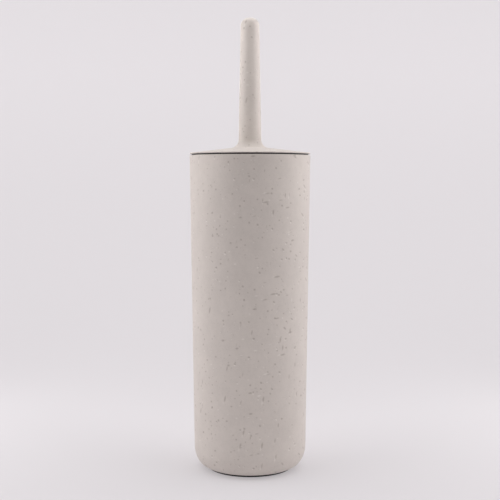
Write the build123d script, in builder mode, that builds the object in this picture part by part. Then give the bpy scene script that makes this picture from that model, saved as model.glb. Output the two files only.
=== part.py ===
from build123d import *
import math
import os

# Toilet brush holder: a drafted canister with a drip liner, and a brush whose lid and handle close it.
# Millimetres. +Z is up, and the origin is the centre of the foot ring's underside.

# ---- Driving dimensions ----

# Canister
rim_radius = 50.0
rim_height = 261.4
side_draft = 0.0132  # how far a side leans out for each millimetre of height
underside_height = 1.6
body_wall = 3.0
body_floor = 3.0
corner_reach = 12.5  # the rounded bottom edge, measured inwards
corner_rise = 17.0  # and upwards
corner_fullness = 0.552  # makes a Bezier curve follow a quarter of an ellipse
rim_outer_round = 0.8
rim_inner_round = 0.4

# Foot ring
foot_outer_radius = 35.5
foot_inner_radius = 30.5
foot_height = 3.1
foot_edge_round = 0.5

# Liner
liner_gap = 0.45
liner_wall = 1.4
liner_floor_gap = 0.5
flange_radius = 48.2
flange_thickness = 1.1
inner_corner_reach = 10.5
inner_corner_rise = 14.5

# Lid
lid_edge_thickness = 0.9
lid_edge_round = 0.75
lid_slope = 0.118  # rise of the cone for each millimetre towards the axis
lid_wall = 2.2
lid_flare_radius = 6.8
lid_hub_radius = 13.0
lid_ring_radius = 44.4
lid_ring_wall = 1.8
lid_ring_depth = 5.0

# Handle
overall_height = 374.0
handle_base_radius = 9.4
handle_taper = 0.0178  # lost radius for each millimetre of height
handle_top_round = 6.8
handle_cap = 6.0
handle_core_radius = 5.2
handle_core_round = 2.6
insert_radius = 6.6
insert_length = 28.0

# Stem
stem_radius = 6.0
shank_radius = 5.0
shank_rise = 6.0  # how far the shank reaches into the handle
stud_radius = 4.0
upper_stud_length = 18.0
stud_point = 0.8
collar_radius = 9.5
collar_thickness = 3.2
shoulder_radius = 9.0
shoulder_thickness = 3.0
washer_thickness = 1.4
fit_clearance = 0.05

# Brush head
head_radius = 38.0
core_radius = 13.0
core_bottom = 30.0
core_top = 100.0
core_edge_round = 2.0
neck_radius = 9.0
neck_top = 108.0
head_thread_length = 10.0
head_thread_relief = 1.5
row_count = 9
row_spacing = 7.0
first_row_height = 39.0
tufts_per_row = 12
tuft_radius = 1.4
tuft_seat_depth = 5.0
tuft_hole_depth = 6.0
tuft_fan_half_width = 6.8
tuft_fan_half_height = 3.2
crown_length = 10.0
crown_lead = 1.0  # straight stretch below the core before a crown tuft fans out
crown_fan_radius = 3.2
crown_ring_radius = 7.5
crown_ring_count = 6
crown_tilt = 20.0
staple_length = 0.9
staple_width = 2.6
staple_thickness = 0.4

# ---- Sizes worked out from them ----

lid_height = rim_height + flange_thickness
body_inner_radius = rim_radius - body_wall
liner_outer_radius = body_inner_radius - liner_gap
liner_inner_radius = liner_outer_radius - liner_wall
liner_bottom = underside_height + body_floor + liner_floor_gap
bore_radius = shank_radius + fit_clearance
stud_hole_radius = stud_radius + fit_clearance
lid_angle = math.atan(lid_slope)
flare_foot_radius = handle_base_radius + lid_flare_radius * (1 - math.sin(lid_angle))
flare_foot_height = lid_height + lid_edge_thickness + lid_slope * (rim_radius - flare_foot_radius)
handle_bottom = flare_foot_height + lid_flare_radius * math.cos(lid_angle)
handle_top_radius = handle_base_radius - handle_taper * (overall_height - handle_bottom)
shank_top = handle_bottom + shank_rise
insert_top = handle_bottom + insert_length
collar_top = lid_height - washer_thickness
shoulder_bottom = neck_top + washer_thickness
head_stud_tip = neck_top - head_thread_length
tuft_hole_radius = tuft_radius + fit_clearance
row_half_pitch = 180.0 / tufts_per_row


def cup_side(top_radius, top_height, bottom_height, reach, rise):
    """Draws half a cup's outline: from the axis along the bottom, round the corner and up the side."""
    corner = Vector(top_radius - side_draft * (top_height - bottom_height), bottom_height)
    bottom_end = corner - Vector(reach, 0)
    side_start = corner + Vector(side_draft * rise, rise)
    Line((0, bottom_height), bottom_end)
    Bezier(
        bottom_end,
        bottom_end + (corner - bottom_end) * corner_fullness,
        side_start + (corner - side_start) * corner_fullness,
        side_start,
    )
    Line(side_start, (top_radius, top_height))


def save(piece, name):
    """Labels a finished piece and writes its STEP file."""
    piece.part.label = name
    export_step(piece.part, f"parts/{name}.step")


os.makedirs("parts", exist_ok=True)

# ---- Canister: a drafted cup with a groove under it for the foot ring ----

with BuildPart() as holder_body:
    with BuildSketch(Plane.XZ):
        with BuildLine():
            cup_side(rim_radius, rim_height, underside_height, corner_reach, corner_rise)
            Line((rim_radius, rim_height), (body_inner_radius, rim_height))
            cup_side(
                body_inner_radius,
                rim_height,
                underside_height + body_floor,
                inner_corner_reach,
                inner_corner_rise,
            )
            Line((0, underside_height), (0, underside_height + body_floor))
        make_face()
    revolve(axis=Axis.Z)
    rim_edges = holder_body.edges().group_by(Axis.Z)[-1].sort_by(SortBy.RADIUS)
    fillet(rim_edges[-1], radius=rim_outer_round)
    rim_edges = holder_body.edges().group_by(Axis.Z)[-1].sort_by(SortBy.RADIUS)
    fillet(rim_edges[0], radius=rim_inner_round)
    with BuildSketch(Plane.XY):
        Circle(foot_outer_radius)
        Circle(foot_inner_radius, mode=Mode.SUBTRACT)
    extrude(amount=foot_height, mode=Mode.SUBTRACT)
save(holder_body, "holder_body")

with BuildPart() as foot_ring:
    with BuildSketch(Plane.XY):
        Circle(foot_outer_radius)
        Circle(foot_inner_radius, mode=Mode.SUBTRACT)
    extrude(amount=foot_height)
    fillet(foot_ring.edges().group_by(Axis.Z)[0], radius=foot_edge_round)
save(foot_ring, "foot_ring")

# ---- Liner: a thin cup that hangs by its flange on the canister's rim ----

with BuildPart() as inner_liner:
    with BuildSketch(Plane.XZ):
        with BuildLine():
            cup_side(liner_outer_radius, rim_height, liner_bottom, inner_corner_reach, inner_corner_rise)
            Polyline(
                (liner_outer_radius, rim_height),
                (flange_radius, rim_height),
                (flange_radius, lid_height),
                (liner_inner_radius, lid_height),
            )
            cup_side(
                liner_inner_radius,
                lid_height,
                liner_bottom + liner_wall,
                inner_corner_reach - liner_wall,
                inner_corner_rise - liner_wall,
            )
            Line((0, liner_bottom), (0, liner_bottom + liner_wall))
        make_face()
    revolve(axis=Axis.Z)
save(inner_liner, "inner_liner")

# ---- Lid: a thin cone that flares up to the handle, with a hub for the stem and a locating ring ----

hub_ceiling = flare_foot_height + lid_slope * (flare_foot_radius - lid_hub_radius) - lid_wall
ledge_radius = rim_radius - (lid_wall - lid_edge_thickness) / lid_slope

with BuildPart() as lid:
    with BuildSketch(Plane.XZ):
        with BuildLine():
            Polyline(
                (rim_radius, lid_height),
                (rim_radius, lid_height + lid_edge_thickness),
                (flare_foot_radius, flare_foot_height),
            )
            TangentArc(
                (flare_foot_radius, flare_foot_height),
                (handle_base_radius, handle_bottom),
                tangent=(-1, lid_slope),
            )
            Polyline(
                (handle_base_radius, handle_bottom),
                (bore_radius, handle_bottom),
                (bore_radius, lid_height),
                (lid_hub_radius, lid_height),
                (lid_hub_radius, hub_ceiling),
                (ledge_radius, lid_height),
                (rim_radius, lid_height),
            )
        make_face()
    revolve(axis=Axis.Z)
    with BuildSketch(Plane.XY.offset(lid_height - lid_ring_depth)):
        Circle(lid_ring_radius)
        Circle(lid_ring_radius - lid_ring_wall, mode=Mode.SUBTRACT)
    extrude(amount=lid_ring_depth)
    outer_edges = lid.edges().filter_by(GeomType.CIRCLE).group_by(SortBy.RADIUS)[-1]
    fillet(outer_edges.sort_by(Axis.Z)[-1], radius=lid_edge_round)
save(lid, "lid")

# ---- Handle: a hollow tapered grip with a domed end, and the threaded sleeve pressed into it ----

with BuildPart() as handle:
    with BuildSketch(Plane.XZ):
        with BuildLine():
            Polyline(
                (insert_radius, handle_bottom),
                (handle_base_radius, handle_bottom),
                (handle_top_radius, overall_height),
                (0, overall_height),
                (0, overall_height - handle_cap),
                (handle_core_radius, overall_height - handle_cap),
                (handle_core_radius, insert_top),
                (insert_radius, insert_top),
                close=True,
            )
        make_face()
    revolve(axis=Axis.Z)
    fillet(handle.edges().group_by(Axis.Z)[-1], radius=handle_top_round)
    cavity_end = overall_height - handle_cap
    cavity_edge = handle.edges().filter_by_position(Axis.Z, cavity_end, cavity_end)
    fillet(cavity_edge, radius=handle_core_round)
save(handle, "handle")

with BuildPart() as handle_insert:
    with Locations((0, 0, handle_bottom)):
        Cylinder(insert_radius, insert_length, align=(Align.CENTER, Align.CENTER, Align.MIN))
        Cylinder(
            bore_radius,
            shank_rise,
            align=(Align.CENTER, Align.CENTER, Align.MIN),
            mode=Mode.SUBTRACT,
        )
        Cylinder(
            stud_hole_radius,
            insert_length,
            align=(Align.CENTER, Align.CENTER, Align.MIN),
            mode=Mode.SUBTRACT,
        )
save(handle_insert, "handle_insert")

# ---- Stem: a rod with a collar under the lid and a threaded stud at each end ----

with BuildPart() as stem:
    with BuildSketch(Plane.XZ):
        with BuildLine():
            Polyline(
                (0, head_stud_tip),
                (stud_radius - stud_point, head_stud_tip),
                (stud_radius, head_stud_tip + stud_point),
                (stud_radius, shoulder_bottom),
                (shoulder_radius, shoulder_bottom),
                (shoulder_radius, shoulder_bottom + shoulder_thickness),
                (stem_radius, shoulder_bottom + 2 * shoulder_thickness),
                (stem_radius, collar_top - 2 * collar_thickness),
                (collar_radius, collar_top - collar_thickness),
                (collar_radius, collar_top),
                (shank_radius, collar_top),
                (shank_radius, shank_top),
                (stud_radius, shank_top),
                (stud_radius, shank_top + upper_stud_length - stud_point),
                (stud_radius - stud_point, shank_top + upper_stud_length),
                (0, shank_top + upper_stud_length),
                close=True,
            )
        make_face()
    revolve(axis=Axis.Z)
save(stem, "stem")

with BuildPart() as lid_washer:
    with BuildSketch(Plane.XY.offset(collar_top)):
        Circle(collar_radius)
        Circle(bore_radius, mode=Mode.SUBTRACT)
    extrude(amount=washer_thickness)
save(lid_washer, "lid_washer")

with BuildPart() as head_washer:
    with BuildSketch(Plane.XY.offset(neck_top)):
        Circle(shoulder_radius)
        Circle(stud_hole_radius, mode=Mode.SUBTRACT)
    extrude(amount=washer_thickness)
save(head_washer, "head_washer")

# ---- Tufts: each is a round bundle in its hole that fans out to the head's outside ----

with BuildPart() as row_tuft:
    with BuildSketch(Plane.YZ.offset(core_radius - tuft_seat_depth)):
        Circle(tuft_radius)
    extrude(amount=tuft_seat_depth)
    with BuildSketch(Plane.YZ.offset(core_radius)):
        Circle(tuft_radius)
    with BuildSketch(Plane.YZ.offset(head_radius)):
        Ellipse(tuft_fan_half_width, tuft_fan_half_height)
    loft()

with BuildPart() as crown_tuft:
    with BuildSketch(Plane.XY.offset(-crown_lead)):
        Circle(tuft_radius)
    extrude(amount=crown_lead + tuft_seat_depth)
    with BuildSketch(Plane.XY.offset(-crown_lead)):
        Circle(tuft_radius)
    with BuildSketch(Plane.XY.offset(-crown_length)):
        Circle(crown_fan_radius)
    loft()

crown_places = [Location((0, 0, core_bottom))]
for place in PolarLocations(crown_ring_radius, crown_ring_count):
    crown_places.append(place * Location((0, 0, core_bottom), (0, -crown_tilt, 0)))


def row_height(row):
    """Height of a ring of tufts, counted from the lowest."""
    return first_row_height + row_spacing * row


def row_turn(row):
    """Angle of a ring's first tuft: every other ring is turned by half a tuft."""
    return row_half_pitch * (row % 2)


for row in range(row_count):
    with BuildPart() as bristle_row:
        with Locations((0, 0, row_height(row))):
            with PolarLocations(0, tufts_per_row, start_angle=row_turn(row)):
                add(row_tuft.part)
    save(bristle_row, f"bristle_row_{row + 1}")

with BuildPart() as bristle_crown:
    with Locations(*crown_places):
        add(crown_tuft.part)
save(bristle_crown, "bristle_crown")

# ---- Core: holds the tufts in blind holes and screws on to the stem's lower stud ----

with BuildPart() as head_core:
    with Locations((0, 0, core_bottom)):
        Cylinder(core_radius, core_top - core_bottom, align=(Align.CENTER, Align.CENTER, Align.MIN))
    ends = head_core.edges().filter_by(GeomType.CIRCLE)
    fillet(ends, radius=core_edge_round)
    with Locations((0, 0, core_top)):
        Cylinder(neck_radius, neck_top - core_top, align=(Align.CENTER, Align.CENTER, Align.MIN))
    with Locations((0, 0, neck_top)):
        Cylinder(
            stud_hole_radius,
            head_thread_length + head_thread_relief,
            align=(Align.CENTER, Align.CENTER, Align.MAX),
            mode=Mode.SUBTRACT,
        )
    for row in range(row_count):
        with Locations((0, 0, row_height(row))):
            with PolarLocations(core_radius, tufts_per_row, start_angle=row_turn(row)):
                Cylinder(
                    tuft_hole_radius,
                    2 * tuft_hole_depth,
                    rotation=(0, 90, 0),
                    mode=Mode.SUBTRACT,
                )
    with Locations(*crown_places):
        Cylinder(tuft_hole_radius, 2 * tuft_hole_depth, mode=Mode.SUBTRACT)
save(head_core, "head_core")

# ---- Staples: a flat anchor behind each tuft, at the bottom of its hole ----

staple_setback = tuft_hole_depth - (tuft_hole_depth - tuft_seat_depth) / 2

with BuildPart() as tuft_staples:
    for row in range(row_count):
        with Locations((0, 0, row_height(row))):
            with PolarLocations(core_radius - staple_setback, tufts_per_row, start_angle=row_turn(row)):
                Box(staple_length, staple_width, staple_thickness)
    for place in crown_places:
        with Locations(place * Location((0, 0, staple_setback))):
            Box(staple_thickness, staple_width, staple_length)
save(tuft_staples, "tuft_staples")
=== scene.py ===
"""Looks of a tall canister with a lidded toilet brush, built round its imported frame.

Every length is in metres, with +Z up and the origin under the middle of the foot ring.
"""

import logging
import math
import random
from dataclasses import dataclass, replace
from enum import Enum
from typing import Sequence

import bpy
from mathutils import Matrix, Vector


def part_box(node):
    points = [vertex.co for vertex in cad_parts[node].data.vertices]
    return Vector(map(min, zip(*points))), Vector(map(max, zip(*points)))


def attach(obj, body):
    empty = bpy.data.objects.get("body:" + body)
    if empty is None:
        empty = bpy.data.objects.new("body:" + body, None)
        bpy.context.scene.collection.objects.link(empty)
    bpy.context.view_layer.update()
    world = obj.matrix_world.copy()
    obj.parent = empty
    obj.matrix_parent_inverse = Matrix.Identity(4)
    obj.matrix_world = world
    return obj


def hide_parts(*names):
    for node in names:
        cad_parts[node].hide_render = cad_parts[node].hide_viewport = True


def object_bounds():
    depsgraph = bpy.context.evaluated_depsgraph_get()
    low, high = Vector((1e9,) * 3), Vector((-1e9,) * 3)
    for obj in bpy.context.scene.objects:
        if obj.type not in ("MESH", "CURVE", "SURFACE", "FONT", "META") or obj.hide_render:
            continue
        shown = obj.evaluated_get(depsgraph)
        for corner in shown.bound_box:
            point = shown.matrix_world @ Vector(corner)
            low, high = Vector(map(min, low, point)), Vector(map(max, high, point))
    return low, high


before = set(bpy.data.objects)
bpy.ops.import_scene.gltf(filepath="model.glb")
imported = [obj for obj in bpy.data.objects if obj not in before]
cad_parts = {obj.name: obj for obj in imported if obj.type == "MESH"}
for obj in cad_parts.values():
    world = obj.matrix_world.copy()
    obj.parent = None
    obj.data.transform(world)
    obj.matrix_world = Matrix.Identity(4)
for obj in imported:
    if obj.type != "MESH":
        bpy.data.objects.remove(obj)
CAD_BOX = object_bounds()

LOG = logging.getLogger("brush_holder")
MM = 0.001
ROUND_SEGMENTS = 192
SMALL_SEGMENTS = 96
QUARTER_FULLNESS = 0.552
SMOOTH_ANGLE = math.radians(32)
MERGE_DISTANCE = 1e-7
ON_AXIS = 1e-9
GOLDEN_ANGLE = math.pi * (3 - math.sqrt(5))
NOISE_LOW, NOISE_HIGH = 0.3, 0.7

Point = tuple[float, float]
Colour = tuple[float, float, float]
Piece = bpy.types.Object
Socket = bpy.types.NodeSocket


# ---- Modelling: outlines, turned pieces and threads ----


def deselect_all() -> None:
    """Leaves edit mode and deselects every object."""
    if bpy.context.mode != "OBJECT":
        bpy.ops.object.mode_set(mode="OBJECT")
    bpy.ops.object.select_all(action="DESELECT")


def pick(*pieces: Piece) -> None:
    """Selects these objects alone and makes the first of them active.

    Args:
        pieces: the objects.
    """
    deselect_all()
    for piece in pieces:
        piece.select_set(True)
    bpy.context.view_layer.objects.active = pieces[0]


def edit_all(piece: Piece) -> None:
    """Opens a piece alone in edit mode, with all of it selected.

    Args:
        piece: the object.
    """
    pick(piece)
    bpy.ops.object.mode_set(mode="EDIT")
    bpy.ops.mesh.select_all(action="SELECT")


def close_and_face_out(piece: Piece) -> None:
    """Merges doubled points, turns the faces outwards and shades smooth up to the sharp edges.

    Args:
        piece: the object.
    """
    edit_all(piece)
    bpy.ops.mesh.remove_doubles(threshold=MERGE_DISTANCE)
    bpy.ops.mesh.normals_make_consistent(inside=False)
    bpy.ops.object.mode_set(mode="OBJECT")
    bpy.ops.object.shade_smooth_by_angle(angle=SMOOTH_ANGLE)


def join(pieces: Sequence[Piece], name: str) -> Piece:
    """Joins objects into the first of them.

    Args:
        pieces: the objects.
        name: the joined object's name.

    Returns:
        The joined object.
    """
    pick(*pieces)
    if len(pieces) > 1:
        bpy.ops.object.join()
    pieces[0].name = name
    pieces[0].data.name = name
    return pieces[0]


def unite(piece: Piece, other: Piece) -> None:
    """Adds another closed solid to a piece, as one skin, and removes the other.

    Args:
        piece: the solid that stays.
        other: the solid that becomes part of it.
    """
    pick(piece)
    modifier = piece.modifiers.new("union", "BOOLEAN")
    modifier.operation = "UNION"
    modifier.solver = "EXACT"
    modifier.object = other
    bpy.ops.object.modifier_apply(modifier=modifier.name)
    bpy.data.objects.remove(other)


@dataclass
class Outline:
    """Half outline of a turned piece, as (radius, height) points drawn one after another."""

    points: list[Point]

    def line(self, radius: float, height: float, steps: int = 1) -> "Outline":
        """Draws a straight run to a point.

        Args:
            radius: where it ends, from the axis.
            height: where it ends, from the floor.
            steps: how many equal spans the run gets.

        Returns:
            The outline itself.
        """
        start, end = Vector(self.points[-1]), Vector((radius, height))
        for step in range(1, steps + 1):
            self.points.append(tuple(start.lerp(end, step / steps)))
        return self

    def curve(self, corner: Point, end: Point, steps: int) -> "Outline":
        """Draws a quarter of an ellipse from the last point round a corner.

        Args:
            corner: where the tangents of its two ends meet.
            end: its last point.
            steps: how many spans it gets.

        Returns:
            The outline itself.
        """
        start, turn, finish = Vector(self.points[-1]), Vector(corner), Vector(end)
        lead = start.lerp(turn, QUARTER_FULLNESS)
        trail = finish.lerp(turn, QUARTER_FULLNESS)
        for step in range(1, steps + 1):
            t = step / steps
            u = 1 - t
            spot = start * u**3 + lead * 3 * u * u * t + trail * 3 * u * t * t + finish * t**3
            self.points.append(tuple(spot))
        return self

    def edge(self, corner: Point, towards: Point, radius: float, steps: int = 4) -> "Outline":
        """Draws to a corner and rounds it off.

        Args:
            corner: the sharp corner.
            towards: a point on the run that follows it.
            radius: how far from the corner the rounding begins and ends.
            steps: how many spans the rounding gets.

        Returns:
            The outline itself.
        """
        sharp = Vector(corner)
        begin = sharp + (Vector(self.points[-1]) - sharp).normalized() * radius
        end = sharp + (Vector(towards) - sharp).normalized() * radius
        self.points.append(tuple(begin))
        return self.curve(corner, tuple(end), steps)

    def turned(self, name: str, segments: int = ROUND_SEGMENTS) -> Piece:
        """Models the piece: a circle drawn along the outline by extruding, moving and resizing it.

        Where the outline begins or ends on the axis, the piece closes there. Where it ends at its first
        point, it closes on itself.

        Args:
            name: the new object's name.
            segments: how many sides the circle has.

        Returns:
            The new object, closed, facing out and smooth.
        """
        from_axis = self.points[0][0] < ON_AXIS
        rings = self.points[1:] if from_axis else self.points
        first_radius, first_height = rings[0]
        deselect_all()
        bpy.ops.mesh.primitive_circle_add(
            vertices=segments,
            radius=first_radius,
            fill_type="TRIFAN" if from_axis else "NOTHING",
            location=(0, 0, first_height),
        )
        piece = bpy.context.object
        piece.name = name
        piece.data.name = name
        bpy.ops.object.transform_apply(location=True, rotation=False, scale=False)
        bpy.ops.object.mode_set(mode="EDIT")
        bpy.ops.mesh.select_mode(type="EDGE")
        bpy.ops.mesh.select_all(action="SELECT")
        if from_axis:
            bpy.ops.mesh.region_to_loop()
        for last, point in zip(rings, rings[1:]):
            rise = (0, 0, point[1] - last[1])
            bpy.ops.mesh.extrude_region_move(TRANSFORM_OT_translate={"value": rise})
            if point[0] < ON_AXIS:
                bpy.ops.mesh.merge(type="CENTER")
            else:
                grow = point[0] / last[0]
                bpy.ops.transform.resize(value=(grow, grow, 1), center_override=(0, 0, point[1]))
        close_and_face_out(piece)
        return piece


@dataclass(frozen=True)
class Thread:
    """A screw thread about the Z axis."""

    crest: float
    root: float
    pitch: float
    bottom: float
    top: float
    flank_share: float = 0.3
    land_share: float = 0.2
    spare_turns: int = 2
    steps: int = 60

    def stud(self, name: str) -> Piece:
        """Models the threaded stud: one pitch of the outline, screwed upwards and cut off at both ends.

        Args:
            name: the new object's name.

        Returns:
            The stud as a closed solid.
        """
        flank, land = self.flank_share * self.pitch, self.land_share * self.pitch
        start = Vector((self.root, 0, self.bottom - self.pitch))
        moves = (
            Vector((0, 0, land)),
            Vector((self.crest - self.root, 0, flank)),
            Vector((0, 0, land)),
            Vector((self.root - self.crest, 0, flank)),
        )
        deselect_all()
        bpy.ops.mesh.primitive_plane_add(size=MM, location=start)
        stud = bpy.context.object
        stud.name = name
        bpy.ops.object.transform_apply(location=True, rotation=False, scale=False)
        edit_all(stud)
        bpy.ops.mesh.merge(type="CENTER")
        for move in moves:
            bpy.ops.mesh.extrude_region_move(TRANSFORM_OT_translate={"value": move})
        bpy.ops.object.mode_set(mode="OBJECT")
        screw = stud.modifiers.new("thread", "SCREW")
        screw.axis = "Z"
        screw.angle = math.tau
        screw.screw_offset = self.pitch
        screw.iterations = math.ceil((self.top - self.bottom) / self.pitch) + self.spare_turns
        screw.steps = self.steps
        screw.render_steps = self.steps
        screw.use_merge_vertices = False
        bpy.ops.object.modifier_apply(modifier=screw.name)
        edit_all(stud)
        bpy.ops.mesh.remove_doubles(threshold=MERGE_DISTANCE)
        for height, direction in ((self.bottom, -1), (self.top, 1)):
            bpy.ops.mesh.select_all(action="SELECT")
            bpy.ops.mesh.bisect(
                plane_co=(0, 0, height),
                plane_no=(0, 0, direction),
                use_fill=True,
                clear_outer=True,
            )
        close_and_face_out(stud)
        return stud


# ---- Finishes ----


@dataclass(frozen=True)
class Grain:
    """A noise pattern: its features to a metre, its finer layers and how strong they are."""

    scale: float
    detail: float = 2.0
    roughness: float = 0.5


@dataclass(frozen=True)
class Scatter:
    """One kind of fleck, with sizes in cells of its pattern."""

    scale: float
    share: float
    size: float
    softness: float
    strength: float


class Nodes:
    """Writes a material's nodes, one call for each node."""

    def __init__(self, name: str) -> None:
        """Starts an empty material with its output and its main shader.

        Args:
            name: the material's name.
        """
        self.material = bpy.data.materials.new(name)
        self.material.use_nodes = True
        self.tree = self.material.node_tree
        self.tree.nodes.clear()
        self.output = self.tree.nodes.new("ShaderNodeOutputMaterial")
        self.shader = self.tree.nodes.new("ShaderNodeBsdfPrincipled")
        self.join(self.shader.outputs["BSDF"], self.output.inputs["Surface"])
        self.place = self.tree.nodes.new("ShaderNodeTexCoord").outputs["Object"]

    def join(self, source: Socket, target: Socket) -> None:
        """Links two sockets."""
        self.tree.links.new(source, target)

    def mapped(self, turn: Sequence[float], scale: Sequence[float]) -> Socket:
        """Turns the object's coordinates, then stretches them.

        Args:
            turn: rotation about X, Y and Z, in degrees.
            scale: stretch along each axis.

        Returns:
            The coordinates' socket.
        """
        node = self.tree.nodes.new("ShaderNodeMapping")
        node.vector_type = "TEXTURE"
        node.inputs["Rotation"].default_value = [math.radians(angle) for angle in turn]
        node.inputs["Scale"].default_value = scale
        self.join(self.place, node.inputs["Vector"])
        return node.outputs["Vector"]

    def moved(self, place: Socket, offset: Sequence[float]) -> Socket:
        """Moves coordinates by an offset.

        Args:
            place: the coordinates.
            offset: how far, along each axis.

        Returns:
            The moved coordinates' socket.
        """
        node = self.tree.nodes.new("ShaderNodeVectorMath")
        node.operation = "ADD"
        node.inputs[1].default_value = offset
        self.join(place, node.inputs[0])
        return node.outputs["Vector"]

    def noise(self, grain: Grain, output: str = "Fac") -> Socket:
        """Adds a noise pattern on the object's own coordinates.

        Args:
            grain: the pattern.
            output: which output is wanted.

        Returns:
            The pattern's socket.
        """
        node = self.tree.nodes.new("ShaderNodeTexNoise")
        node.inputs["Scale"].default_value = grain.scale
        node.inputs["Detail"].default_value = grain.detail
        node.inputs["Roughness"].default_value = grain.roughness
        self.join(self.place, node.inputs["Vector"])
        return node.outputs[output]

    def math(
        self, operation: str, first: Socket | float, second: Socket | float, clamp: bool = False
    ) -> Socket:
        """Adds a sum.

        Args:
            operation: the Math node's operation.
            first: a socket or a number.
            second: a socket or a number.
            clamp: whether the result is kept from 0 to 1.

        Returns:
            The result's socket.
        """
        node = self.tree.nodes.new("ShaderNodeMath")
        node.operation = operation
        node.use_clamp = clamp
        for socket, value in zip(node.inputs, (first, second)):
            if isinstance(value, Socket):
                self.join(value, socket)
            else:
                socket.default_value = value
        return node.outputs["Value"]

    def ranged(self, value: Socket, low: float, high: float, to: Point) -> Socket:
        """Maps a value from one range to another, smoothly and clamped.

        Args:
            value: the socket.
            low: the value that becomes the first of the new range.
            high: the value that becomes the second.
            to: the new range.

        Returns:
            The result's socket.
        """
        node = self.tree.nodes.new("ShaderNodeMapRange")
        node.interpolation_type = "SMOOTHSTEP"
        node.inputs["From Min"].default_value = low
        node.inputs["From Max"].default_value = high
        node.inputs["To Min"].default_value = to[0]
        node.inputs["To Max"].default_value = to[1]
        self.join(value, node.inputs["Value"])
        return node.outputs["Result"]

    def mixed(self, factor: Socket, first: Socket | Colour, second: Socket | Colour) -> Socket:
        """Mixes two colours.

        Args:
            factor: how much of the second colour there is.
            first: a colour or a socket.
            second: a colour or a socket.

        Returns:
            The mixed colour's socket.
        """
        node = self.tree.nodes.new("ShaderNodeMix")
        node.data_type = "RGBA"
        self.join(factor, node.inputs["Factor"])
        first_colour, second_colour = node.inputs[6], node.inputs[7]
        for socket, value in ((first_colour, first), (second_colour, second)):
            if isinstance(value, Socket):
                self.join(value, socket)
            else:
                socket.default_value = (*value, 1)
        return node.outputs[2]

    def flecks(self, place: Socket, kind: Scatter) -> Socket:
        """Scatters flecks of uneven size.

        Args:
            place: the coordinates that they lie in.
            kind: how many, how large and how soft they are.

        Returns:
            A socket that is 1 inside a fleck and 0 outside.
        """
        cells = self.tree.nodes.new("ShaderNodeTexVoronoi")
        cells.inputs["Scale"].default_value = kind.scale
        self.join(place, cells.inputs["Vector"])
        parts = self.tree.nodes.new("ShaderNodeSeparateColor")
        self.join(cells.outputs["Color"], parts.inputs["Color"])
        reach = self.ranged(parts.outputs["Red"], 1 - kind.share, 1, (-kind.softness, kind.size))
        inside = self.math("SUBTRACT", reach, cells.outputs["Distance"])
        return self.math("DIVIDE", inside, kind.softness, clamp=True)

    def wandered(self, drift: Grain, reach: float) -> Socket:
        """Shifts the object's coordinates unevenly, so that a pattern on them loses its round shapes.

        Args:
            drift: the noise that shifts them.
            reach: how far it may, in metres.

        Returns:
            The shifted coordinates' socket.
        """
        node = self.tree.nodes.new("ShaderNodeVectorMath")
        node.operation = "MULTIPLY_ADD"
        node.inputs[1].default_value = (reach, reach, reach)
        self.join(self.noise(drift, "Color"), node.inputs[0])
        self.join(self.place, node.inputs[2])
        return node.outputs["Vector"]

    def stained(self, tone: Socket, flecks: Socket, kind: Scatter, colour: Colour) -> Socket:
        """Colours flecks in a tone.

        Args:
            tone: the colour around them.
            flecks: where they are.
            kind: how strong they are.
            colour: their own colour.

        Returns:
            The tone with the flecks in it.
        """
        return self.mixed(self.math("MULTIPLY", flecks, kind.strength), tone, colour)

    def bump(self, height: Socket, strength: float, distance: float) -> None:
        """Raises the surface by a height pattern.

        Args:
            height: the pattern.
            strength: how much of it shows.
            distance: how high 1 is, in metres.
        """
        node = self.tree.nodes.new("ShaderNodeBump")
        node.inputs["Strength"].default_value = strength
        node.inputs["Distance"].default_value = distance
        self.join(height, node.inputs["Height"])
        self.join(node.outputs["Normal"], self.shader.inputs["Normal"])


class FibreLay(Enum):
    """Which way a layer of fibres lies: its turn about X, Y and Z, in degrees."""

    UPRIGHT = (8, 12, 0)
    LEANING = (38, -41, 20)
    ACROSS = (0, 84, 25)
    ALONG = (84, 10, 0)


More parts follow.
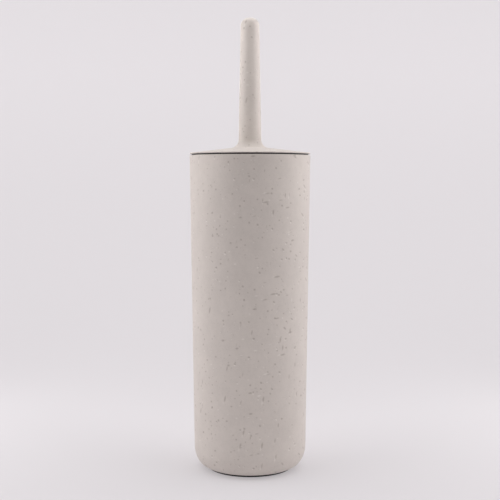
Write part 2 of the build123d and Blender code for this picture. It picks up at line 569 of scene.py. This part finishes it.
@dataclass(frozen=True)
class FleckedComposite:
    """Pale greige moulding compound with fine plant fibres and specks in it, and painted highlights just
    below its dark specks and fibres.
    """

    name: str = "flecked_composite"
    base: Colour = (0.60, 0.55, 0.508)
    dark: Colour = (0.26, 0.21, 0.17)
    # light: the colour of the painted highlights just below the dark specks and fibres, as if lit from above.
    light: Colour = (0.88, 0.85, 0.80)
    cloud: Grain = Grain(42, 4, 0.6)
    cloud_shades: Point = (0.965, 1.035)
    mottle: Grain = Grain(210, 2, 0.6)
    mottle_range: Point = (0.35, 0.65)
    mottle_shade: float = 0.86
    mottle_strength: float = 0.2
    grain: Grain = Grain(620, 4, 0.7)
    grain_shade: float = 1.09
    grain_strength: float = 0.4
    drift: Grain = Grain(520)
    drift_reach: float = 0.0016
    dark_specks: Scatter = Scatter(270, 0.26, 0.33, 0.2, 0.5)
    # Painted highlight: a pale copy of the dark specks' pattern, set just below each dark speck.
    painted_speck_highlights: Scatter = Scatter(270, 0.28, 0.30, 0.2, 0.5)
    fine_specks: Scatter = Scatter(760, 0.36, 0.36, 0.2, 0.24)
    dark_fibres: Scatter = Scatter(300, 0.42, 0.31, 0.16, 0.42)
    # Painted highlight: a pale copy of the dark fibres' pattern, set just below each dark fibre.
    painted_fibre_highlights: Scatter = Scatter(300, 0.3, 0.27, 0.16, 0.3)
    fibre_stretch: float = 3.6
    # How far the painted highlights sit from the dark marks that they go with, mostly lower down.
    highlight_offset: tuple[float, float, float] = (0.0004, 0.0003, 0.0008)
    roughness: float = 0.56
    smoother: float = 0.05
    rougher: float = 0.06
    specular: float = 0.42
    pores: Grain = Grain(1600, 3, 0.6)
    relief_strength: float = 0.16
    relief_height: float = 0.00016

    def material(self) -> bpy.types.Material:
        """Makes the finish: base, cloudiness, specks and fibres with painted highlights just below the dark
        ones, uneven sheen and a fine moulded grain.
        """
        nodes = Nodes(self.name)
        grain = nodes.noise(self.grain)
        tone = self.clouded(nodes, grain)
        loose = nodes.wandered(self.drift, self.drift_reach)
        dark = nodes.flecks(loose, self.dark_specks)
        # Painted highlight: the dark specks' pattern again, moved a little lower and coloured pale, as if
        # each speck's relief were lit from above.
        light = nodes.flecks(nodes.moved(loose, self.highlight_offset), self.painted_speck_highlights)
        tone = nodes.stained(tone, nodes.flecks(loose, self.fine_specks), self.fine_specks, self.dark)
        tone = nodes.stained(tone, light, self.painted_speck_highlights, self.light)
        tone = nodes.stained(tone, dark, self.dark_specks, self.dark)
        relief = nodes.math("SUBTRACT", light, dark)
        for lay in FibreLay:
            along = nodes.mapped(lay.value, (1, 1, self.fibre_stretch))
            # Painted highlight: the dark fibres again, moved a little lower and coloured pale, as if lit from
            # above.
            pale = nodes.flecks(nodes.moved(along, self.highlight_offset), self.painted_fibre_highlights)
            tone = nodes.stained(tone, pale, self.painted_fibre_highlights, self.light)
            fibres = nodes.flecks(along, self.dark_fibres)
            tone = nodes.stained(tone, fibres, self.dark_fibres, self.dark)
            relief = nodes.math("SUBTRACT", relief, fibres)
        nodes.join(tone, nodes.shader.inputs["Base Color"])
        sheen_range = (self.roughness - self.smoother, self.roughness + self.rougher)
        sheen = nodes.ranged(grain, NOISE_LOW, NOISE_HIGH, sheen_range)
        nodes.join(sheen, nodes.shader.inputs["Roughness"])
        nodes.shader.inputs["Specular IOR Level"].default_value = self.specular
        height = nodes.math("ADD", nodes.noise(self.pores), relief)
        nodes.bump(height, self.relief_strength, self.relief_height)
        return nodes.material

    def clouded(self, nodes: Nodes, grain: Socket) -> Socket:
        """Makes the base colour's own unevenness.

        Args:
            nodes: the material's nodes.
            grain: the fine pattern in it.

        Returns:
            The colour's socket.
        """
        darker, lighter = (self.shade(factor) for factor in self.cloud_shades)
        cloud = nodes.ranged(nodes.noise(self.cloud), NOISE_LOW, NOISE_HIGH, (0, 1))
        mottle = nodes.ranged(nodes.noise(self.mottle), *self.mottle_range, (self.mottle_strength, 0))
        fine = nodes.ranged(grain, NOISE_LOW, NOISE_HIGH, (0, self.grain_strength))
        tone = nodes.mixed(cloud, darker, lighter)
        tone = nodes.mixed(mottle, tone, self.shade(self.mottle_shade))
        return nodes.mixed(fine, tone, self.shade(self.grain_shade))

    def shade(self, factor: float) -> Colour:
        """The base colour, lighter or darker."""
        return tuple(part * factor for part in self.base)


@dataclass(frozen=True)
class Moulded:
    """Plain plastic, rubber or metal with a fine grain."""

    name: str
    base: Colour
    roughness: float
    grain_scale: float
    grain_depth: float
    variation: float = 0.12
    metallic: float = 0.0
    translucency: float = 0.0
    scatter_reach: float = 0.0006
    cloud: Grain = Grain(60, 4, 0.6)
    sheen_spread: float = 0.06
    relief_strength: float = 0.25

    def material(self) -> bpy.types.Material:
        """Makes the finish: a cloudy base, uneven sheen and a fine grain."""
        nodes = Nodes(self.name)
        darker = tuple(part * (1 - self.variation) for part in self.base)
        lighter = tuple(min(part * (1 + self.variation), 1) for part in self.base)
        cloud = nodes.ranged(nodes.noise(self.cloud), NOISE_LOW, NOISE_HIGH, (0, 1))
        nodes.join(nodes.mixed(cloud, darker, lighter), nodes.shader.inputs["Base Color"])
        grain = nodes.noise(Grain(self.grain_scale, 3, 0.6))
        sheen_range = (self.roughness - self.sheen_spread, self.roughness + self.sheen_spread)
        sheen = nodes.ranged(grain, NOISE_LOW, NOISE_HIGH, sheen_range)
        nodes.join(sheen, nodes.shader.inputs["Roughness"])
        nodes.shader.inputs["Metallic"].default_value = self.metallic
        if self.translucency:
            nodes.shader.inputs["Subsurface Weight"].default_value = self.translucency
            nodes.shader.inputs["Subsurface Radius"].default_value = (self.scatter_reach,) * 3
        nodes.bump(grain, self.relief_strength, self.grain_depth)
        return nodes.material


COMPOSITE = FleckedComposite()
LINER_BLACK = Moulded("liner_black", (0.021, 0.020, 0.020), 0.5, 900, 0.00006)
RUBBER = Moulded("rubber_black", (0.014, 0.013, 0.013), 0.72, 1400, 0.00009)
STEM_BLACK = Moulded("stem_black", (0.045, 0.044, 0.043), 0.42, 1100, 0.00007)
CORE_BLACK = Moulded("core_black", (0.035, 0.034, 0.034), 0.38, 1000, 0.00005)
BRASS = Moulded("insert_brass", (0.62, 0.43, 0.19), 0.34, 1300, 0.00005, metallic=1.0)
STEEL = Moulded("staple_steel", (0.56, 0.56, 0.57), 0.3, 1500, 0.00003, metallic=1.0)
NYLON = Moulded("bristle_nylon", (0.76, 0.74, 0.70), 0.36, 500, 0.00002, 0.05, translucency=0.2)


# ---- The object's sub-assemblies ----


@dataclass
class Part:
    """What every sub-assembly does with a finished piece."""

    body: str

    def dress(self, piece: Piece, finish: FleckedComposite | Moulded) -> None:
        """Gives a piece one finish.

        Args:
            piece: a new piece, or a CAD node, whose own slots are kept.
            finish: the finish.
        """
        if finish.name not in bpy.data.materials:
            finish.material()
        material = bpy.data.materials[finish.name]
        if piece.data.materials:
            for index in range(len(piece.data.materials)):
                piece.data.materials[index] = material
        else:
            piece.data.materials.append(material)

    def fit(self, piece: Piece, node: str, slot: str, finish: FleckedComposite | Moulded) -> None:
        """Dresses a new piece and puts it in its node's place on this body.

        Args:
            piece: the finished piece.
            node: the CAD node that it stands for.
            slot: the record's material slot; not used.
            finish: its finish.
        """
        self.dress(piece, finish)
        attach(piece, self.body)
        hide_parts(node)
        LOG.info("%s: %d faces, rides on %s", piece.name, len(piece.data.polygons), self.body)

    def keep(self, node: str, finish: Moulded) -> None:
        """Keeps a CAD node's shape and gives it a finish."""
        self.dress(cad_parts[node], finish)
        LOG.info("%s: kept from the frame", node)


def radius_of(node: str) -> float:
    """A round node's outer radius."""
    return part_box(node)[1][0]


def bottom_of(node: str) -> float:
    """A node's lowest height."""
    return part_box(node)[0][2]


def top_of(node: str) -> float:
    """A node's highest height."""
    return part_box(node)[1][2]


@dataclass
class Canister(Part):
    """The outer shell and the foot ring in its groove."""

    body: str = "holder"
    draft: float = 0.0132
    wall: float = 3.0 * MM
    floor: float = 3.0 * MM
    reach: float = 12.5 * MM
    rise: float = 17.0 * MM
    inner_reach: float = 10.5 * MM
    inner_rise: float = 14.5 * MM
    rim_round: float = 0.8 * MM
    inner_round: float = 0.4 * MM
    foot_lip: float = 0.1 * MM
    ring_width: float = 5.0 * MM
    ring_round: float = 0.5 * MM
    corner_spans: int = 20
    side_spans: int = 40
    rim_spans: int = 6
    inner_spans: int = 30
    inner_corner_spans: int = 14

    def build(self) -> None:
        """Builds the shell and the ring."""
        self.build_shell()
        self.build_foot_ring()

    def build_shell(self) -> None:
        """Draws the shell from under its floor, up the outside, over the rim and down the inside."""
        top, bottom = top_of("holder_body"), bottom_of("holder_body")
        rim = CAD_BOX[1][0]
        foot_outer, foot_top = radius_of("foot_ring"), top_of("foot_ring")
        foot_inner = foot_outer - self.ring_width
        corner = (rim - self.draft * (top - bottom), bottom)
        side = (corner[0] + self.draft * self.rise, bottom + self.rise)
        inner_bottom = bottom + self.floor
        inner_rim = rim - self.wall
        inner_corner = (inner_rim - self.draft * (top - inner_bottom), inner_bottom)
        inner_side = (inner_corner[0] + self.draft * self.inner_rise, inner_bottom + self.inner_rise)
        outline = Outline([(0, bottom), (foot_inner, bottom)])
        outline.line(foot_inner, foot_top).line(foot_outer, foot_top)
        outline.line(foot_outer, bottom + self.foot_lip)
        outline.curve(corner, side, self.corner_spans)
        rim_drop = 2 * self.rim_round
        outline.line(rim - self.draft * rim_drop, top - rim_drop, self.side_spans)
        outline.edge((rim, top), (inner_rim, top), self.rim_round, self.rim_spans)
        outline.edge((inner_rim, top), inner_side, self.inner_round)
        outline.line(*inner_side, self.inner_spans)
        inner_foot = (inner_corner[0] - self.inner_reach, inner_bottom)
        outline.curve(inner_corner, inner_foot, self.inner_corner_spans)
        outline.line(0, inner_bottom)
        self.fit(outline.turned("canister_shell"), "holder_body", "speckled_composite", COMPOSITE)

    def build_foot_ring(self) -> None:
        """Draws the soft ring that the canister stands on."""
        outer, top = radius_of("foot_ring"), top_of("foot_ring")
        inner = outer - self.ring_width
        outline = Outline([(inner, top)])
        outline.edge((inner, 0), (outer, 0), self.ring_round)
        outline.edge((outer, 0), (outer, top), self.ring_round)
        outline.line(outer, top).line(inner, top)
        self.fit(outline.turned("foot_ring_black"), "foot_ring", "black_rubber", RUBBER)


@dataclass
class Liner(Part):
    """The thin cup that hangs by its flange on the canister's rim."""

    body: str = "liner"
    draft: float = 0.0132
    wall: float = 1.4 * MM
    outer_radius: float = 46.55 * MM
    flange: float = 1.1 * MM
    reach: float = 10.5 * MM
    rise: float = 14.5 * MM
    edge_round: float = 0.25 * MM
    corner_spans: int = 14
    side_spans: int = 30
    edge_spans: int = 3
    inner_corner_spans: int = 12

    def build(self) -> None:
        """Draws the cup from its bottom, up the outside, round the flange and down the inside."""
        top, bottom = top_of("inner_liner"), bottom_of("inner_liner")
        seat = top - self.flange
        flange_radius = radius_of("inner_liner")
        inner_top = self.outer_radius - self.wall
        corner = (self.outer_radius - self.draft * (seat - bottom), bottom)
        side = (corner[0] + self.draft * self.rise, bottom + self.rise)
        inner_bottom = bottom + self.wall
        inner_corner = (inner_top - self.draft * (top - inner_bottom), inner_bottom)
        reach, rise = self.reach - self.wall, self.rise - self.wall
        inner_side = (inner_corner[0] + self.draft * rise, inner_bottom + rise)
        outline = Outline([(0, bottom), (corner[0] - self.reach, bottom)])
        outline.curve(corner, side, self.corner_spans)
        outline.line(self.outer_radius, seat, self.side_spans)
        outline.edge((flange_radius, seat), (flange_radius, top), self.edge_round, self.edge_spans)
        outline.edge((flange_radius, top), (inner_top, top), self.edge_round, self.edge_spans)
        outline.edge((inner_top, top), inner_side, self.edge_round * 2)
        outline.line(*inner_side, self.side_spans)
        outline.curve(inner_corner, (inner_corner[0] - reach, inner_bottom), self.inner_corner_spans)
        outline.line(0, inner_bottom)
        self.fit(outline.turned("drip_liner"), "inner_liner", "dark_liner", LINER_BLACK)


@dataclass
class Lid(Part):
    """The thin cone that flares up to the handle, with its hub and its locating ring."""

    body: str = "brush"
    edge_thickness: float = 0.9 * MM
    edge_round: float = 0.75 * MM
    slope: float = 0.118
    wall: float = 2.2 * MM
    flare: float = 6.8 * MM
    hub_radius: float = 13.0 * MM
    bore_radius: float = 5.05 * MM
    ring_radius: float = 44.4 * MM
    ring_wall: float = 1.8 * MM
    ring_depth: float = 5.0 * MM
    lip_round: float = 0.15 * MM
    hub_round: float = 0.4 * MM
    ring_round: float = 0.5 * MM
    seat_spans: int = 2
    lip_spans: int = 3
    edge_spans: int = 8
    cone_spans: int = 12
    flare_spans: int = 16
    bore_spans: int = 4
    under_spans: int = 8

    def build(self) -> None:
        """Draws the lid as one closed loop: over the top, down the bore and back under it."""
        rim, top, bottom = radius_of("lid"), top_of("lid"), bottom_of("lid")
        seat = bottom + self.ring_depth
        neck = radius_of("handle")
        angle = math.atan(self.slope)
        foot = neck + self.flare * (1 - math.sin(angle))
        foot_height = self.cone_height(seat, rim, foot)
        meet = (neck, foot_height + self.slope * (foot - neck))
        ceiling = self.cone_height(seat, rim, self.hub_radius) - self.wall
        ledge = rim - (self.wall - self.edge_thickness) / self.slope
        ring, inner_ring = self.ring_radius, self.ring_radius - self.ring_wall
        outline = Outline([(ring, seat)])
        outline.line(rim - self.lip_round, seat, self.seat_spans)
        outline.curve((rim, seat), (rim, seat + self.lip_round), self.lip_spans)
        outline.edge(
            (rim, seat + self.edge_thickness),
            (foot, foot_height),
            self.edge_round,
            self.edge_spans,
        )
        outline.line(foot, foot_height, self.cone_spans)
        outline.curve(meet, (neck, top), self.flare_spans)
        outline.line(self.bore_radius, top).line(self.bore_radius, seat, self.bore_spans)
        outline.edge((self.hub_radius, seat), (self.hub_radius, ceiling), self.hub_round)
        outline.line(self.hub_radius, ceiling).line(ledge, seat, self.under_spans)
        outline.line(inner_ring, seat)
        outline.edge((inner_ring, bottom), (ring, bottom), self.ring_round)
        outline.edge((ring, bottom), (ring, seat), self.ring_round)
        outline.line(ring, seat)
        self.fit(outline.turned("lid_cone"), "lid", "speckled_composite", COMPOSITE)

    def cone_height(self, seat: float, rim: float, radius: float) -> float:
        """Height of the cone's top at a radius."""
        return seat + self.edge_thickness + self.slope * (rim - radius)


@dataclass
class Handle(Part):
    """The hollow tapered grip, and the threaded sleeve and the washer that fasten it."""

    body: str = "brush"
    taper: float = 0.0178
    top_round: float = 6.8 * MM
    cap: float = 6.0 * MM
    core_radius: float = 5.2 * MM
    seat_radius: float = 6.6 * MM
    side_spans: int = 36
    dome_spans: int = 18
    core_spans: int = 8

    def build(self) -> None:
        """Builds the grip and dresses what is inside it."""
        base, bottom, top = radius_of("handle"), bottom_of("handle"), top_of("handle")
        insert_top = top_of("handle_insert")
        end_radius = base - self.taper * (top - bottom)
        shoulder = (end_radius + self.taper * self.top_round, top - self.top_round)
        skin = Outline([(self.seat_radius, bottom), (base, bottom)])
        skin.line(*shoulder, self.side_spans)
        skin.curve((end_radius, top), (end_radius - self.top_round, top), self.dome_spans)
        skin.line(0, top)
        core, ceiling = self.core_radius, top - self.cap
        hollow = Outline([(0, ceiling), (core / 2, ceiling)])
        hollow.curve((core, ceiling), (core, ceiling - core / 2), self.core_spans)
        hollow.line(core, insert_top, self.core_spans).line(self.seat_radius, insert_top)
        hollow.line(self.seat_radius, bottom)
        grip = Outline(hollow.points + skin.points[1:])
        self.fit(grip.turned("handle_grip", SMALL_SEGMENTS), "handle", "speckled_composite", COMPOSITE)
        self.keep("handle_insert", BRASS)
        self.keep("lid_washer", RUBBER)


@dataclass
class Stem(Part):
    """The rod between handle and head, with a real thread on both studs."""

    body: str = "brush"
    shank_radius: float = 5.0 * MM
    rod_radius: float = 6.0 * MM
    collar_radius: float = 9.5 * MM
    collar_thickness: float = 3.2 * MM
    shoulder_radius: float = 9.0 * MM
    shoulder_thickness: float = 3.0 * MM
    stud_radius: float = 4.0 * MM
    thread_depth: float = 0.75 * MM
    pitch: float = 2.5 * MM
    shank_rise: float = 6.0 * MM
    stud_overlap: float = 0.5 * MM
    edge_round: float = 0.4 * MM
    shoulder_round: float = 0.5 * MM
    cone_spans: int = 3
    rod_spans: int = 24
    shank_spans: int = 4

    def build(self) -> None:
        """Draws the rod and unites it with its two threaded studs."""
        lower_end, upper_end = bottom_of("stem"), top_of("stem")
        shoulder = top_of("head_washer")
        collar = bottom_of("lid_washer")
        shank_top = bottom_of("handle") + self.shank_rise
        shoulder_top = shoulder + self.shoulder_thickness
        rod_bottom = shoulder + 2 * self.shoulder_thickness
        outline = Outline([(0, shoulder), (self.stud_radius, shoulder)])
        outline.edge((self.shoulder_radius, shoulder), (self.shoulder_radius, collar), self.edge_round)
        outline.edge(
            (self.shoulder_radius, shoulder_top),
            (self.rod_radius, rod_bottom),
            self.shoulder_round,
        )
        outline.line(self.rod_radius, rod_bottom, self.cone_spans)
        outline.line(self.rod_radius, collar - 2 * self.collar_thickness, self.rod_spans)
        outline.line(self.collar_radius, collar - self.collar_thickness, self.cone_spans)
        outline.edge((self.collar_radius, collar), (self.shank_radius, collar), self.edge_round)
        outline.line(self.shank_radius, collar).line(self.shank_radius, shank_top, self.shank_spans)
        outline.line(0, shank_top)
        rod = outline.turned("stem_rod", SMALL_SEGMENTS)
        root = self.stud_radius - self.thread_depth
        lower = Thread(self.stud_radius, root, self.pitch, lower_end, shoulder + self.stud_overlap)
        upper = Thread(self.stud_radius, root, self.pitch, shank_top - self.stud_overlap, upper_end)
        unite(rod, lower.stud("lower_stud"))
        unite(rod, upper.stud("upper_stud"))
        close_and_face_out(rod)
        self.fit(rod, "stem", "stem_plastic", STEM_BLACK)


@dataclass
class Tuft:
    """One bundle of filaments, modelled along +X and copied to every hole."""

    count: int
    hole_radius: float
    start: float
    end: float
    half_width: float
    half_height: float
    filament_radius: float = 0.19 * MM
    fan_share: float = 0.93
    unevenness: float = 0.07
    most_trimmed: float = 1.1 * MM
    bow: Point = (0.15, 0.5)
    thinning: float = 0.12
    spans: int = 4
    sides: int = 5

    def filament(self, name: str) -> Piece:
        """Models one straight filament of unit length along +Z: a small disc extruded in spans.

        Args:
            name: the new object's name.

        Returns:
            The filament.
        """
        deselect_all()
        bpy.ops.mesh.primitive_circle_add(vertices=self.sides, radius=1, fill_type="NGON")
        piece = bpy.context.object
        piece.name = name
        edit_all(piece)
        for _ in range(self.spans):
            step = (0, 0, 1 / self.spans)
            bpy.ops.mesh.extrude_region_move(TRANSFORM_OT_translate={"value": step})
        bpy.ops.mesh.select_all(action="SELECT")
        bpy.ops.mesh.normals_make_consistent(inside=False)
        bpy.ops.object.mode_set(mode="OBJECT")
        bpy.ops.object.shade_smooth()
        return piece

    def made(self, name: str, chance: random.Random) -> Piece:
        """Models the bundle: filaments that leave the hole together and fan out.

        Args:
            name: the new object's name.
            chance: the source of their unevenness.

        Returns:
            The bundle as one object.
        """
        first = self.filament(name)
        copies = []
        for index in range(self.count):
            share = (index + 0.5) / self.count
            reach, turn = math.sqrt(share), index * GOLDEN_ANGLE
            spread = Vector((reach * math.cos(turn), reach * math.sin(turn)))
            root = spread * (self.hole_radius - self.filament_radius)
            jitter = Vector((chance.gauss(0, self.unevenness), chance.gauss(0, self.unevenness)))
            tip = spread * self.fan_share + jitter
            tip = Vector((tip.x * self.half_width, tip.y * self.half_height))
            length = self.end - self.start - chance.uniform(0, self.most_trimmed)
            bow = chance.uniform(*self.bow)
            mesh = first.data.copy()
            for vertex in mesh.vertices:
                along = vertex.co.z
                fan = along * (1 - bow) + along * along * bow
                side = root.lerp(tip, fan)
                thin = self.filament_radius * (1 - self.thinning * along)
                vertex.co = Vector(
                    (
                        self.start + length * along,
                        side.x + vertex.co.x * thin,
                        side.y + vertex.co.y * thin,
                    )
                )
            copy = bpy.data.objects.new(f"{name}_{index}", mesh)
            bpy.context.collection.objects.link(copy)
            copies.append(copy)
        bpy.data.objects.remove(first)
        return join(copies, name)


@dataclass
class BrushHead(Part):
    """The core, its staples and the rings of tufts."""

    body: str = "head"
    rows: int = 9
    per_row: int = 12
    row_spacing: float = 7.0 * MM
    first_row: float = 39.0 * MM
    core_radius: float = 13.0 * MM
    core_bottom: float = 30.0 * MM
    hole_radius: float = 1.4 * MM
    depth: float = 5.0 * MM
    crown_ring: float = 7.5 * MM
    crown_count: int = 6
    crown_tilt: float = math.radians(20)
    looks: int = 4
    seed: int = 7

    def build(self) -> None:
        """Dresses the core and its staples, and builds the tufts."""
        self.keep("head_core", CORE_BLACK)
        self.keep("tuft_staples", STEEL)
        chance = random.Random(self.seed)
        self.build_rows(chance)
        self.build_crown(chance)

    def copy_of(self, model: Piece, name: str, place: Matrix) -> Piece:
        """Copies a tuft, with its own mesh, to a place.

        Args:
            model: the tuft.
            name: the copy's name.
            place: where it goes.

        Returns:
            The copy, whose place is in its mesh.
        """
        mesh = model.data.copy()
        mesh.transform(place)
        copy = bpy.data.objects.new(name, mesh)
        bpy.context.collection.objects.link(copy)
        return copy

    def build_rows(self, chance: random.Random) -> None:
        """Builds each ring: its tufts are copies of a few models, some of them turned over.

        Args:
            chance: the source of the tufts' unevenness.
        """
        tuft = Tuft(
            count=40,
            hole_radius=self.hole_radius,
            start=self.core_radius - self.depth,
            end=38.0 * MM,
            half_width=7.6 * MM,
            half_height=3.9 * MM,
        )
        models = [tuft.made(f"tuft_look_{index}", chance) for index in range(self.looks)]
        for row in range(self.rows):
            node = f"bristle_row_{row + 1}"
            rise = Matrix.Translation((0, 0, self.first_row + self.row_spacing * row))
            copies = []
            for index in range(self.per_row):
                turn = math.tau * (index + 0.5 * (row % 2)) / self.per_row
                flip = Matrix.Rotation(math.pi * chance.randint(0, 1), 4, "X")
                place = rise @ Matrix.Rotation(turn, 4, "Z") @ flip
                copies.append(self.copy_of(chance.choice(models), f"{node}_tuft_{index}", place))
            self.fit(join(copies, f"filaments_{row + 1}"), node, "bristle_nylon", NYLON)
        for model in models:
            bpy.data.objects.remove(model)

    def build_crown(self, chance: random.Random) -> None:
        """Builds the tufts on the core's lower end, the outer ones leaning out.

        Args:
            chance: the source of the tufts' unevenness.
        """
        tuft = Tuft(
            count=36,
            hole_radius=self.hole_radius,
            start=-self.depth,
            end=10.0 * MM,
            half_width=4.0 * MM,
            half_height=4.0 * MM,
        )
        model = tuft.made("crown_tuft_look", chance)
        down = Matrix.Translation((0, 0, self.core_bottom)) @ Matrix.Rotation(math.pi / 2, 4, "Y")
        copies = [self.copy_of(model, "crown_tuft_middle", down)]
        for index in range(self.crown_count):
            turn = Matrix.Rotation(math.tau * index / self.crown_count, 4, "Z")
            place = Matrix.Translation((self.crown_ring, 0, self.core_bottom))
            lean = Matrix.Rotation(math.pi / 2 - self.crown_tilt, 4, "Y")
            copies.append(self.copy_of(model, f"crown_tuft_{index}", turn @ place @ lean))
        bpy.data.objects.remove(model)
        self.fit(join(copies, "filaments_crown"), "bristle_crown", "bristle_nylon", NYLON)


@dataclass
class HeadWasher(Part):
    """The washer that goes down the stud with the head."""

    body: str = "washer"

    def build(self) -> None:
        """Dresses the washer."""
        self.keep("head_washer", RUBBER)


# ---- Studio ----


@dataclass(frozen=True)
class Softbox:
    """A soft rectangular light that isn't seen itself."""

    name: str
    place: tuple[float, float, float]
    aim: tuple[float, float, float]
    width: float
    height: float
    power: float
    spread: float = math.pi
    colour: Colour = (1.0, 0.99, 0.99)

    def hang(self) -> None:
        """Adds the light to the scene."""
        light = bpy.data.lights.new(self.name, "AREA")
        light.shape = "RECTANGLE"
        light.size = self.width
        light.size_y = self.height
        light.energy = self.power
        light.spread = self.spread
        light.color = self.colour
        lamp = bpy.data.objects.new(self.name, light)
        bpy.context.collection.objects.link(lamp)
        lamp.location = self.place
        lamp.rotation_euler = (Vector(self.aim) - Vector(self.place)).to_track_quat("-Z", "Y").to_euler()
        lamp.visible_camera = False

    def mirrored(self) -> "Softbox":
        """The same light on the right of the object."""
        across, depth, height = self.place
        return replace(self, name=self.name.replace("left", "right"), place=(-across, depth, height))


@dataclass
class Studio:
    """A pale bowl-shaped sweep all round the object, soft lights, and the camera."""

    floor_radius: float = 0.25
    bowl_radius: float = 2.4
    curve_height: float = 1.2
    bowl_height: float = 2.6
    paper: Colour = (0.42, 0.407, 0.416)
    paper_glow: Point = (0.31, 0.375)
    glow_rise: Point = (0.05, 0.6)
    glow_tone: Colour = (1.0, 0.965, 0.99)
    paper_grain: Grain = Grain(900)
    paper_wear: float = 0.97
    paper_roughness: float = 0.9
    paper_specular: float = 0.1
    curve_spans: int = 40
    wall_spans: int = 4
    sky: Colour = (1.0, 0.985, 0.995)
    sky_glow: float = 1.15
    focal_length: float = 72.0
    sensor_width: float = 36.0
    distance: float = 0.833
    eye_height: float = 0.2415
    pitch: float = math.radians(4.04)
    left_boxes: tuple[Softbox, ...] = (
        Softbox("left_upper_box", (-0.30, -0.11, 0.50), (0, -0.02, 0.42), 0.10, 0.30, 0.10, math.radians(60)),
        Softbox("left_side_box", (-0.40, 0.10, 0.16), (0, 0, 0.08), 0.30, 0.28, 0.30),
        Softbox("left_high_box", (-0.32, -0.05, 0.75), (0, -0.05, 0.30), 0.30, 0.30, 0.32),
        Softbox("left_low_box", (-0.55, -0.45, 0.16), (0, 0, 0.07), 0.30, 0.12, 0.022, math.radians(34)),
        Softbox("left_front_box", (-0.9, -0.5, 0.30), (0, 0, 0.20), 0.40, 0.50, 0.20, math.radians(100)),
    )
    card_place: float = -0.90
    card_width: float = 2.0
    card_height: float = 2.14
    card_middle: float = 1.23
    card_black: Colour = (0.01, 0.01, 0.01)
    wall_lamps: int = 8
    wall_lamp: Softbox = Softbox("wall_lamp", (0, 0.6, 1.4), (0, 2.4, 0.25), 1.0, 0.6, 2.1)

    def build(self) -> None:
        """Builds the sweep, the lights, the world and the camera."""
        self.build_sweep()
        for box in self.left_boxes:
            box.hang()
            box.mirrored().hang()
        self.light_wall()
        self.stand_card()
        self.set_world()
        self.set_camera()
        view = bpy.context.scene.view_settings
        view.view_transform = "Standard"
        view.look = "None"

    def build_sweep(self) -> None:
        """Draws a round floor that curves up into a wall, whose paper glows more with height."""
        outline = Outline([(0, 0), (self.floor_radius, 0)])
        outline.curve((self.bowl_radius, 0), (self.bowl_radius, self.curve_height), self.curve_spans)
        outline.line(self.bowl_radius, self.bowl_height, self.wall_spans)
        sweep = outline.turned("studio_sweep", SMALL_SEGMENTS)
        edit_all(sweep)
        bpy.ops.mesh.flip_normals()
        bpy.ops.object.mode_set(mode="OBJECT")
        nodes = Nodes("studio_paper")
        fibre = nodes.noise(self.paper_grain)
        worn = tuple(part * self.paper_wear for part in self.paper)
        nodes.join(nodes.mixed(fibre, worn, self.paper), nodes.shader.inputs["Base Color"])
        nodes.shader.inputs["Roughness"].default_value = self.paper_roughness
        nodes.shader.inputs["Specular IOR Level"].default_value = self.paper_specular
        nodes.shader.inputs["Emission Color"].default_value = (*self.glow_tone, 1)
        height = nodes.tree.nodes.new("ShaderNodeSeparateXYZ")
        nodes.join(nodes.place, height.inputs["Vector"])
        glow = nodes.ranged(height.outputs["Z"], *self.glow_rise, self.paper_glow)
        nodes.join(glow, nodes.shader.inputs["Emission Strength"])
        sweep.data.materials.append(nodes.material)

    def light_wall(self) -> None:
        """Hangs a ring of lamps that face outwards and light the wall all round."""
        lamp = self.wall_lamp
        for index in range(self.wall_lamps):
            turn = Matrix.Rotation(math.tau * index / self.wall_lamps, 4, "Z")
            place, aim = tuple(turn @ Vector(lamp.place)), tuple(turn @ Vector(lamp.aim))
            replace(lamp, name=f"{lamp.name}_{index}", place=place, aim=aim).hang()

    def stand_card(self) -> None:
        """Stands a dark card behind the camera, unseen, that takes the light off the object's front."""
        deselect_all()
        bpy.ops.mesh.primitive_plane_add(size=1, location=(0, self.card_place, self.card_middle))
        card = bpy.context.object
        card.name = "dark_card"
        card.scale = (self.card_width, self.card_height, 1)
        card.rotation_euler = (math.pi / 2, 0, 0)
        bpy.ops.object.transform_apply(location=True, rotation=True, scale=True)
        nodes = Nodes("card_black")
        nodes.shader.inputs["Base Color"].default_value = (*self.card_black, 1)
        card.data.materials.append(nodes.material)
        card.visible_camera = False
        card.visible_shadow = False

    def set_world(self) -> None:
        """Gives the sky its light, which comes in from above, over the sweep's rim."""
        world = bpy.data.worlds.new("studio_world")
        world.use_nodes = True
        background = world.node_tree.nodes["Background"]
        background.inputs["Color"].default_value = (*self.sky, 1)
        background.inputs["Strength"].default_value = self.sky_glow
        bpy.context.scene.world = world

    def set_camera(self) -> None:
        """Puts the camera in front, a little above the middle, looking slightly down."""
        lens = bpy.data.cameras.new("studio_camera")
        lens.lens = self.focal_length
        lens.sensor_width = self.sensor_width
        camera = bpy.data.objects.new("studio_camera", lens)
        bpy.context.collection.objects.link(camera)
        camera.location = (0, -self.distance, self.eye_height)
        camera.rotation_euler = (math.pi / 2 - self.pitch, 0, 0)
        bpy.context.scene.camera = camera


def main() -> None:
    """Builds the studio and the sub-assemblies."""
    logging.basicConfig(level=logging.INFO, format="%(name)s: %(message)s")
    Studio().build()
    for part in (Canister(), Liner(), Lid(), Handle(), Stem(), HeadWasher(), BrushHead()):
        part.build()


if __name__ == "__main__":
    main()
